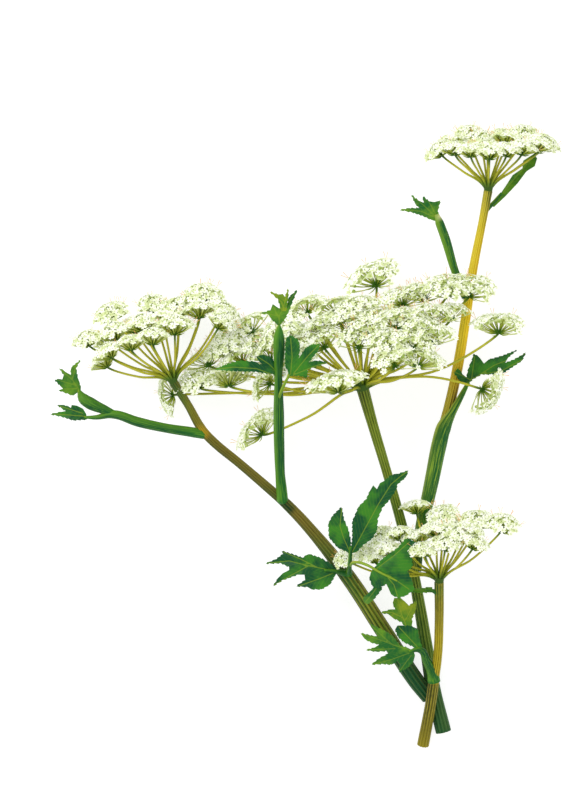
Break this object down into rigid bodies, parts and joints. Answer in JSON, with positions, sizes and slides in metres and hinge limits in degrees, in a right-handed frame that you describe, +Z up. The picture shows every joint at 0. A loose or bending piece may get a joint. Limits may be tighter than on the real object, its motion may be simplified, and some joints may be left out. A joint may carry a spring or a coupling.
{
  "type": "japanese angelica",
  "caption": "Cut branching flower stem lying flat: ribbed stems joined at the foot, lacy domed heads of small white florets, and toothed leaves with swollen sheaths.",
  "frame": {"origin": "middle of the plant's outline, on the surface that it lies on", "axes": "+Y along the stems, from the cut foot to the tallest umbel; +Z up out of the surface; +X to the right of someone who looks down on it with the foot nearest"},
  "size_m": [0.3307, 0.4051, 0.1012],
  "materials": {
    "olive_stem": "satin",
    "brown_stem": "satin",
    "golden_stem": "satin",
    "ochre_stem": "satin",
    "leaf": "matte",
    "floret": "matte"
  },
  "bodies": {
    "root": {"main_stem": "olive_stem", "left_stem": "brown_stem", "tall_stem": "golden_stem", "front_stem": "ochre_stem", "umbel_main": "floret", "umbel_left": "floret", "umbel_tall": "floret", "umbel_front": "floret", "leaf_left_low": "leaf", "leaf_left_upright": "leaf", "leaf_left_axil": "leaf", "leaf_tall_sheath": "leaf", "leaf_tall_upper": "leaf", "bract_tall_top": "leaf", "leaf_front_low": "leaf", "bract_front_top": "leaf"}
  },
  "joints": []
}
